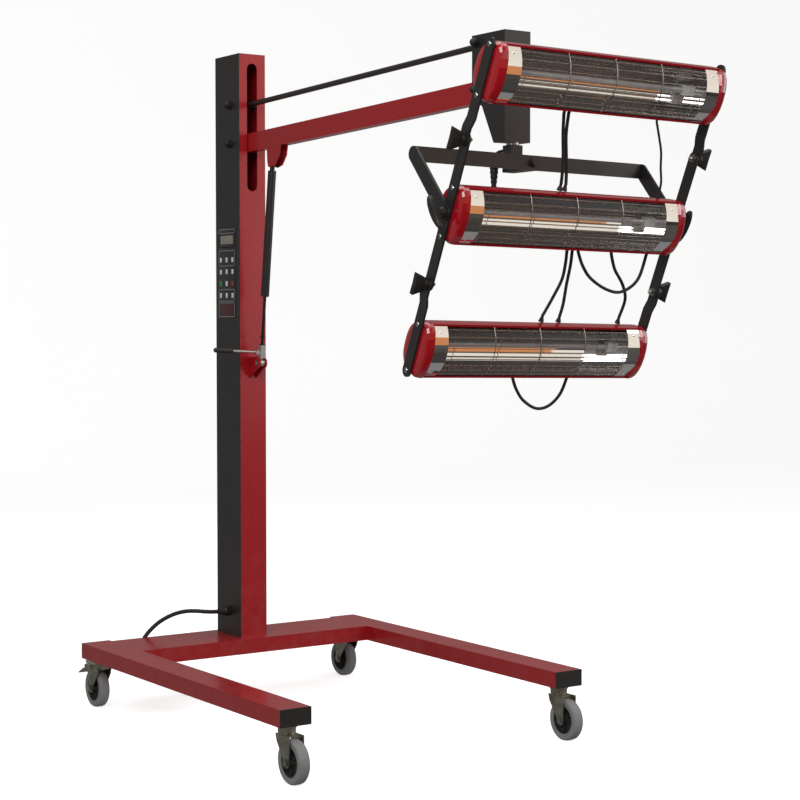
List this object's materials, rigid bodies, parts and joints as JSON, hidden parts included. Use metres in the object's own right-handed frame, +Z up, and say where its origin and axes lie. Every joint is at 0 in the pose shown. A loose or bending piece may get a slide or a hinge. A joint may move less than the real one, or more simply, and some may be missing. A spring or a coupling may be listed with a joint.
{
  "type": "infrared curing lamp",
  "caption": "Mobile infrared curing lamp: U-shaped base on castors, column, parallelogram arm with locking strut, swivelling yoke and tilting lamps.",
  "frame": {"origin": "on the floor, under the middle of the machine without its mains cord", "axes": "+Z up, -Y towards the lamps, +X to the right for someone who faces +Y"},
  "size_m": [0.858, 1.8138, 1.738],
  "materials": {
    "red_coat": "glossy powder coat",
    "black_coat": "fine matt powder coat",
    "lamp_red": "gloss enamel on aluminium",
    "mirror_sheet": "polished aluminium",
    "zinc": "zinc plated",
    "steel": "bright steel",
    "wire": "plated wire",
    "tyre_grey": "grey solid tyre, dark hub",
    "black_plastic": "moulded",
    "cord_rubber": "smooth sheath",
    "quartz": "frosted quartz with white ceramic ends",
    "panel": "membrane overlay with pale keys",
    "display": "dark window",
    "board": "printed board"
  },
  "bodies": {
    "root": {"left_leg": "red_coat", "right_leg": "red_coat", "leg_end_caps": "black_plastic", "crossbar": "red_coat", "column": "red_coat", "side_cover": "black_coat", "keypad": "panel", "display_window": "display", "control_board": "board", "cable_gland": "black_plastic", "mains_cord": "cord_rubber", "cord_coil": "cord_rubber", "mains_plug": "black_plastic", "pivot_pins": "black_plastic", "strut_bolt": "steel", "base_bolts": "steel", "caster_stems": "zinc"},
    "caster_fl": {"caster_fork_fl": "zinc"},
    "wheel_fl": {"caster_wheel_fl": "tyre_grey"},
    "caster_fr": {"caster_fork_fr": "zinc"},
    "wheel_fr": {"caster_wheel_fr": "tyre_grey"},
    "caster_rl": {"caster_fork_rl": "zinc"},
    "wheel_rl": {"caster_wheel_rl": "tyre_grey"},
    "pedal_rl": {"brake_pedal_rl": "zinc"},
    "caster_rr": {"caster_fork_rr": "zinc"},
    "wheel_rr": {"caster_wheel_rr": "tyre_grey"},
    "pedal_rr": {"brake_pedal_rr": "zinc"},
    "arm": {"arm": "red_coat"},
    "tie_rod": {"tie_rod": "black_coat"},
    "head": {"head_box": "black_coat", "head_pins": "black_plastic"},
    "strut_low": {"strut_rod": "steel"},
    "strut_up": {"strut_cylinder": "black_coat"},
    "lever": {"release_lever": "steel"},
    "yoke": {"swivel_post": "black_coat", "yoke": "black_coat", "supply_lead": "cord_rubber"},
    "mid_lamp": {"mid_bars": "black_coat", "mid_housing": "lamp_red", "mid_reflector": "mirror_sheet", "mid_grille": "wire", "mid_tube": "quartz", "upper_leads": "cord_rubber"},
    "top_lamp": {"top_bars": "black_coat", "top_housing": "lamp_red", "top_reflector": "mirror_sheet", "top_grille": "wire", "top_tube": "quartz"},
    "low_lamp": {"low_bars": "black_coat", "low_housing": "lamp_red", "low_reflector": "mirror_sheet", "low_grille": "wire", "low_tube": "quartz", "lower_leads": "cord_rubber"},
    "tilt_left": {"tilt_knob_left": "black_plastic"},
    "tilt_right": {"tilt_knob_right": "black_plastic"},
    "wing_ul": {"wing_knob_ul": "black_plastic"},
    "wing_ur": {"wing_knob_ur": "black_plastic"},
    "wing_ll": {"wing_knob_ll": "black_plastic"},
    "wing_lr": {"wing_knob_lr": "black_plastic"}
  },
  "joints": [
    {"name": "swivel_fl", "type": "hinge", "parent": "root", "child": "caster_fl", "pos_m": [-0.389, -0.18537, 0.12], "axis": [0, 0, 1], "continuous": true},
    {"name": "roll_fl", "type": "hinge", "parent": "caster_fl", "child": "wheel_fl", "pos_m": [-0.389, -0.21537, 0.051], "axis": [1, 0, 0], "continuous": true},
    {"name": "swivel_fr", "type": "hinge", "parent": "root", "child": "caster_fr", "pos_m": [0.389, -0.18537, 0.12], "axis": [0, 0, 1], "continuous": true},
    {"name": "roll_fr", "type": "hinge", "parent": "caster_fr", "child": "wheel_fr", "pos_m": [0.389, -0.21537, 0.051], "axis": [1, 0, 0], "continuous": true},
    {"name": "swivel_rl", "type": "hinge", "parent": "root", "child": "caster_rl", "pos_m": [-0.389, 0.76863, 0.12], "axis": [0, 0, 1], "continuous": true},
    {"name": "roll_rl", "type": "hinge", "parent": "caster_rl", "child": "wheel_rl", "pos_m": [-0.389, 0.79863, 0.051], "axis": [1, 0, 0], "continuous": true},
    {"name": "brake_rl", "type": "hinge", "parent": "caster_rl", "child": "pedal_rl", "pos_m": [-0.389, 0.82863, 0.104], "axis": [-1, 0, 0], "range_deg": [0, 12]},
    {"name": "swivel_rr", "type": "hinge", "parent": "root", "child": "caster_rr", "pos_m": [0.389, 0.76863, 0.12], "axis": [0, 0, 1], "continuous": true},
    {"name": "roll_rr", "type": "hinge", "parent": "caster_rr", "child": "wheel_rr", "pos_m": [0.389, 0.79863, 0.051], "axis": [1, 0, 0], "continuous": true},
    {"name": "brake_rr", "type": "hinge", "parent": "caster_rr", "child": "pedal_rr", "pos_m": [0.389, 0.82863, 0.104], "axis": [-1, 0, 0], "range_deg": [0, 12]},
    {"name": "arm_lift", "type": "hinge", "parent": "root", "child": "arm", "pos_m": [0, 0.69063, 1.5005], "axis": [-1, 0, 0], "range_deg": [-25, 20]},
    {"name": "rod_lift", "type": "hinge", "parent": "root", "child": "tie_rod", "pos_m": [0, 0.69063, 1.604], "axis": [-1, 0, 0], "range_deg": [-26, 21]},
    {"name": "head_level", "type": "hinge", "parent": "arm", "child": "head", "pos_m": [0, -0.41335, 1.53442], "axis": [-1, 0, 0], "range_deg": [-21, 26]},
    {"name": "strut_tilt", "type": "hinge", "parent": "root", "child": "strut_low", "pos_m": [0, 0.59663, 0.914], "axis": [-1, 0, 0], "range_deg": [-3, 3]},
    {"name": "strut_slide", "type": "slide", "parent": "strut_low", "child": "strut_up", "axis": [0, -0.1196, 0.9928], "range_m": [-0.07, 0.056]},
    {"name": "lever_press", "type": "hinge", "parent": "strut_low", "child": "lever", "pos_m": [-0.014, 0.59316, 0.94279], "axis": [0, 0.9928, 0.1196], "range_deg": [-8, 0], "stiffness_Nm_per_rad": 3, "springref_deg": 2.86},
    {"name": "head_swivel", "type": "hinge", "parent": "head", "child": "yoke", "pos_m": [0, -0.49735, 1.39992], "axis": [0, 0, 1], "range_deg": [-90, 90]},
    {"name": "lamps_tilt", "type": "hinge", "parent": "yoke", "child": "mid_lamp", "pos_m": [-0.00913, -0.68836, 1.23845], "axis": [0.9993, -0.0323, -0.0183], "range_deg": [-22, 50], "deforming": ["supply_lead"]},
    {"name": "top_lamp_tilt", "type": "hinge", "parent": "mid_lamp", "child": "top_lamp", "pos_m": [-0.00855, -0.75096, 1.38024], "axis": [0.9993, -0.0323, -0.0183], "range_deg": [-25, 35], "deforming": ["upper_leads"]},
    {"name": "low_lamp_tilt", "type": "hinge", "parent": "mid_lamp", "child": "low_lamp", "pos_m": [-0.00971, -0.62576, 1.09665], "axis": [0.9993, -0.0323, -0.0183], "range_deg": [-35, 35], "deforming": ["lower_leads"]},
    {"name": "tilt_knob_turn_left", "type": "hinge", "parent": "yoke", "child": "tilt_left", "pos_m": [-0.32891, -0.67803, 1.24431], "axis": [0.9993, -0.0323, -0.0183], "continuous": true},
    {"name": "tilt_knob_turn_right", "type": "hinge", "parent": "yoke", "child": "tilt_right", "pos_m": [0.31065, -0.69869, 1.23259], "axis": [0.9993, -0.0323, -0.0183], "continuous": true},
    {"name": "wing_turn_ul", "type": "hinge", "parent": "mid_lamp", "child": "wing_ul", "pos_m": [-0.31834, -0.74095, 1.38593], "axis": [0.9993, -0.0323, -0.0183], "continuous": true},
    {"name": "wing_turn_ur", "type": "hinge", "parent": "mid_lamp", "child": "wing_ur", "pos_m": [0.30123, -0.76097, 1.37456], "axis": [0.9993, -0.0323, -0.0183], "continuous": true},
    {"name": "wing_turn_ll", "type": "hinge", "parent": "mid_lamp", "child": "wing_ll", "pos_m": [-0.31949, -0.61575, 1.10234], "axis": [0.9993, -0.0323, -0.0183], "continuous": true},
    {"name": "wing_turn_lr", "type": "hinge", "parent": "mid_lamp", "child": "wing_lr", "pos_m": [0.30008, -0.63576, 1.09097], "axis": [0.9993, -0.0323, -0.0183], "continuous": true}
  ],
  "couplings": [
    {"joint": "rod_lift", "follows": "arm_lift", "ratio": 1},
    {"joint": "head_level", "follows": "arm_lift", "ratio": -1},
    {"joint": "strut_tilt", "follows": "arm_lift", "ratio": -0.0882},
    {"joint": "strut_slide", "follows": "arm_lift", "m_per_rad": 0.1567}
  ]
}
